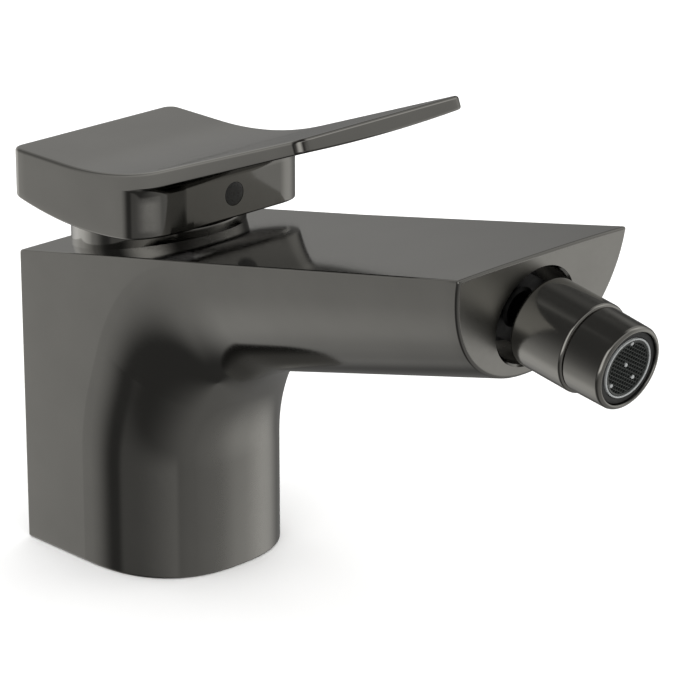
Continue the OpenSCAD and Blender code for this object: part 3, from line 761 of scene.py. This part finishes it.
def rough_face_painted_light(material, axis, rough, light):
    """A less glossy finish where the surface looks along the axis, with painted light there: the colour is made
    lighter to stand in for the brighter reflection that face shows.
    """
    nodes, links = material.node_tree.nodes, material.node_tree.links
    facing = nodes.new("ShaderNodeVectorMath")
    facing.operation = "DOT_PRODUCT"
    facing.inputs[1].default_value = axis
    links.new(nodes.new("ShaderNodeNewGeometry").outputs["Normal"], facing.inputs[0])
    share = nodes.new("ShaderNodeMapRange")
    share.inputs["From Min"].default_value = cos(radians(25))
    share.inputs["From Max"].default_value = cos(radians(5))
    links.new(facing.outputs["Value"], share.inputs["Value"])
    gloss = nodes["Principled BSDF"].inputs["Roughness"]
    rougher = nodes.new("ShaderNodeMath")
    rougher.operation = "MULTIPLY_ADD"
    rougher.inputs[1].default_value = rough
    links.new(share.outputs["Result"], rougher.inputs[0])
    links.new(gloss.links[0].from_socket, rougher.inputs[2])
    links.new(rougher.outputs["Value"], gloss)
    # Painted light: the colour is lightened on faces that look along the axis, standing in for a brighter
    # reflection.
    tone = nodes["Principled BSDF"].inputs["Base Color"]
    factor = nodes.new("ShaderNodeMath")
    factor.operation = "MULTIPLY_ADD"
    factor.inputs[1].default_value = light
    factor.inputs[2].default_value = 1.0
    links.new(share.outputs["Result"], factor.inputs[0])
    painted_lighter_tone = nodes.new("ShaderNodeVectorMath")
    painted_lighter_tone.operation = "SCALE"
    links.new(tone.links[0].from_socket, painted_lighter_tone.inputs[0])
    links.new(factor.outputs["Value"], painted_lighter_tone.inputs["Scale"])
    links.new(painted_lighter_tone.outputs["Vector"], tone)


def plain(name, colour, rough, grain=1500, bump=0.05, spread=0.05):
    """Moulded plastic, rubber or ceramic with a fine grain."""
    shader = Shader(name)
    fine = shader.noise(grain, 3)
    shader.colour(shader.noise(90, 2), shaded(colour, 0.92), shaded(colour, 1.06))
    shader.roughness(fine, rough - spread, rough + spread)
    shader.bump(fine, bump, 0.0001)
    return shader.material


GRAPHITE = (0.225, 0.221, 0.210)
materials = {
    "graphite_body": metal("graphite_body", GRAPHITE, 0.10),
    "graphite_handle": metal("graphite_handle", GRAPHITE, 0.10),
    "graphite_outlet": metal("graphite_outlet", (0.270, 0.265, 0.250), 0.14),
    # Painted shade: the nipple inside the outlet's hole is coloured near black to stand in for the shade in that
    # recess; the real part is plated brass.
    "blackened_brass": metal("blackened_brass", (0.02, 0.02, 0.02), 0.35, 0.05),
    "bare_brass": metal("bare_brass", (0.62, 0.46, 0.20), 0.25, 0.06),
    "steel": metal("steel", (0.55, 0.55, 0.56), 0.22, 0.05),
    "black_rubber": plain("black_rubber", (0.012, 0.012, 0.012), 0.55),
    "white_plastic": plain("white_plastic", (0.72, 0.72, 0.69), 0.42),
    "grey_plastic": plain("grey_plastic", (0.16, 0.165, 0.175), 0.45),
    "ceramic": plain("ceramic", (0.82, 0.81, 0.77), 0.2, bump=0.01),
    "plug": plain("plug", (0.028, 0.028, 0.027), 0.30, bump=0.02),
    "jet_former": plain("jet_former", (0.28, 0.29, 0.29), 0.32, bump=0.02),
    "screen": plain("screen", (0.016, 0.018, 0.017), 0.28, bump=0.02),
}

# Painted light on the spout's end face: a lighter colour stands in for the brighter reflection it shows, and the
# face is also made rougher.
rough_face_painted_light(materials["graphite_body"], OUTLET_AXIS, rough=0.22, light=0.35)


# Pieces on the frame

def place_piece(piece, body, slot, *nodes):
    """Gives a piece its material, its body and the solids that it stands for."""
    piece.data.materials.clear()
    piece.data.materials.append(materials[slot])
    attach(piece, body)
    if nodes:
        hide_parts(*nodes)


for subpart in frame["record"]["subparts"]:
    solid = frame["nodes"][subpart["node"]]
    solid.data.materials.clear()
    solid.data.materials.append(materials[subpart["material_slot"]])

place_piece(make_body(), "body", "graphite_body", "body_casting")
place_piece(make_cover(), "body", "graphite_body", "cartridge_cover")
place_piece(make_handle(), "lever", "graphite_handle", "handle")
place_piece(make_plug(), "lever", "plug", "handle_plug")
# Painted shade: the nipple gets the near-black metal for the shade inside the outlet's hole.
place_piece(make_nipple(), "body", "blackened_brass", "swivel_nipple")
place_piece(make_sleeve(), "outlet", "graphite_outlet", "swivel_sleeve")
place_piece(make_cap(), "outlet", "graphite_outlet", "aerator_cap")
place_piece(make_cap_ring(), "outlet", "black_rubber", "cap_ring")
place_piece(make_insert(), "outlet", "jet_former", "aerator_insert")
screen_pieces = make_screen()
place_piece(screen_pieces[0], "outlet", "screen", "aerator_screen")
for piece in screen_pieces[1:]:
    place_piece(piece, "outlet", "screen")
for piece in make_pegs():
    place_piece(piece, "outlet", "jet_former")


# Stage: floor, light and camera

def make_floor():
    half = 3.0
    low = -0.0001
    corners = [(-half, -half, low), (half, -half, low), (half, half, low), (-half, half, low)]
    mesh = bpy.data.meshes.new("floor")
    mesh.from_pydata(corners, [], [(0, 1, 2, 3)])
    floor = bpy.data.objects.new("floor", mesh)
    bpy.context.scene.collection.objects.link(floor)
    shader = Shader("pale_floor")
    shader.set(Base_Color=(0.86, 0.86, 0.86, 1), Roughness=0.9)
    shader.surface.inputs["Specular IOR Level"].default_value = 0.1
    floor.data.materials.append(shader.material)
    floor.visible_glossy = False


class WorldGraph:
    """Short calls for the maths nodes of the world's shader."""

    def __init__(self, tree):
        self.nodes, self.links = tree.nodes, tree.links
        self.ray = self.nodes.new("ShaderNodeTexCoord").outputs["Generated"]
        height = self.nodes.new("ShaderNodeSeparateXYZ")
        self.links.new(self.ray, height.inputs["Vector"])
        self.elevation = self.maths("ARCSINE", height.outputs["Z"])

    def maths(self, operation, first, second=None):
        node = self.nodes.new("ShaderNodeMath")
        node.operation = operation
        for socket, value in zip(node.inputs, (first, second)):
            if isinstance(value, (int, float)):
                socket.default_value = value
            elif value is not None:
                self.links.new(value, socket)
        return node.outputs["Value"]

    def along(self, axis):
        node = self.nodes.new("ShaderNodeVectorMath")
        node.operation = "DOT_PRODUCT"
        node.inputs[1].default_value = axis
        self.links.new(self.ray, node.inputs[0])
        return node.outputs["Value"]

    def window(self, value, half, soft):
        """One inside the half width, falling to nothing over the soft edge."""
        node = self.nodes.new("ShaderNodeMapRange")
        node.interpolation_type = "SMOOTHSTEP"
        node.inputs["From Min"].default_value = radians(half + soft)
        node.inputs["From Max"].default_value = radians(half)
        self.links.new(self.maths("ABSOLUTE", value), node.inputs["Value"])
        return node.outputs["Result"]

    def panel(self, azimuth, elevation, wide, tall, soft_wide, soft_tall, strength):
        turn = radians(azimuth)
        ahead = self.along((cos(turn), sin(turn), 0))
        aside = self.along((-sin(turn), cos(turn), 0))
        across = self.window(self.maths("ARCTAN2", aside, ahead), wide / 2, soft_wide)
        above = self.maths("SUBTRACT", self.elevation, radians(elevation))
        upright = self.window(above, tall / 2, soft_tall)
        return self.maths("MULTIPLY", self.maths("MULTIPLY", across, upright), strength)


def make_world():
    """A dim studio with soft panels, which the polished metal mirrors."""
    world = bpy.data.worlds.new("studio")
    bpy.context.scene.world = world
    world.use_nodes = True
    graph = WorldGraph(world.node_tree)
    background = graph.nodes["Background"]
    # Azimuth from +X to +Y, elevation, width, height and two soft edges in degrees, then the strength
    panels = [
        (-168, -18, 12, 10, 25, 45, 0.67),
        (-167, -22, 58, 34, 21, 35, 0.40),
        (-169, 16, 48, 71, 8, 14, 0.21),
        (-69, -16, 70, 14, 8, 11, 0.11),
        (-60, 14, 6, 54, 37, 7, 1.30),
        (16, 41, 104, 21, 9, 7, 0.48),
        (20, 9, 6, 18, 45, 7, 0.30),
        (38, -52, 79, 80, 90, 18, 0.24),
        (67, -6, 8, 45, 35, 29, 0.57),
        (85, 42, 65, 24, 7, 26, 0.44),
        (157, 21, 32, 4, 19, 41, 0.40),
    ]
    light = 0.075
    for panel in panels:
        light = graph.maths("ADD", light, graph.panel(*panel))
    graph.links.new(light, background.inputs["Strength"])
    background.inputs["Color"].default_value = (1.0, 0.99, 0.96, 1)


def add_lamp(name, size, energy, place):
    """A soft round lamp that looks at the part and isn't mirrored in it."""
    lamp = bpy.data.lights.new(name, "AREA")
    lamp.shape = "DISK"
    lamp.size = size
    lamp.energy = energy
    light = bpy.data.objects.new(name, lamp)
    light.location = place
    light.rotation_euler = Vector(place).to_track_quat("Z", "Y").to_euler()
    light.visible_glossy = False
    bpy.context.scene.collection.objects.link(light)


def make_lights():
    away = 1.5
    add_lamp("overhead", size=2.4, energy=20, place=(0.0, 0.0, 1.9))
    for i in range(6):
        turn = radians(60 * i)
        add_lamp(f"fill_{i}", size=1.6, energy=10, place=(away * cos(turn), away * sin(turn), 1.0))


def make_camera():
    lens = bpy.data.cameras.new("camera")
    lens.lens = CAMERA_LENS
    lens.sensor_width = CAMERA_SENSOR
    lens.clip_start = 0.01
    camera = bpy.data.objects.new("camera", lens)
    camera.location = CAMERA_PLACE
    level = cos(CAMERA_ELEVATION)
    back = Vector((level * sin(CAMERA_AZIMUTH), -level * cos(CAMERA_AZIMUTH), sin(CAMERA_ELEVATION)))
    camera.rotation_euler = back.to_track_quat("Z", "Y").to_euler()
    bpy.context.scene.collection.objects.link(camera)
    bpy.context.scene.camera = camera


make_floor()
make_world()
make_lights()
make_camera()
bpy.context.scene.view_settings.view_transform = "Standard"
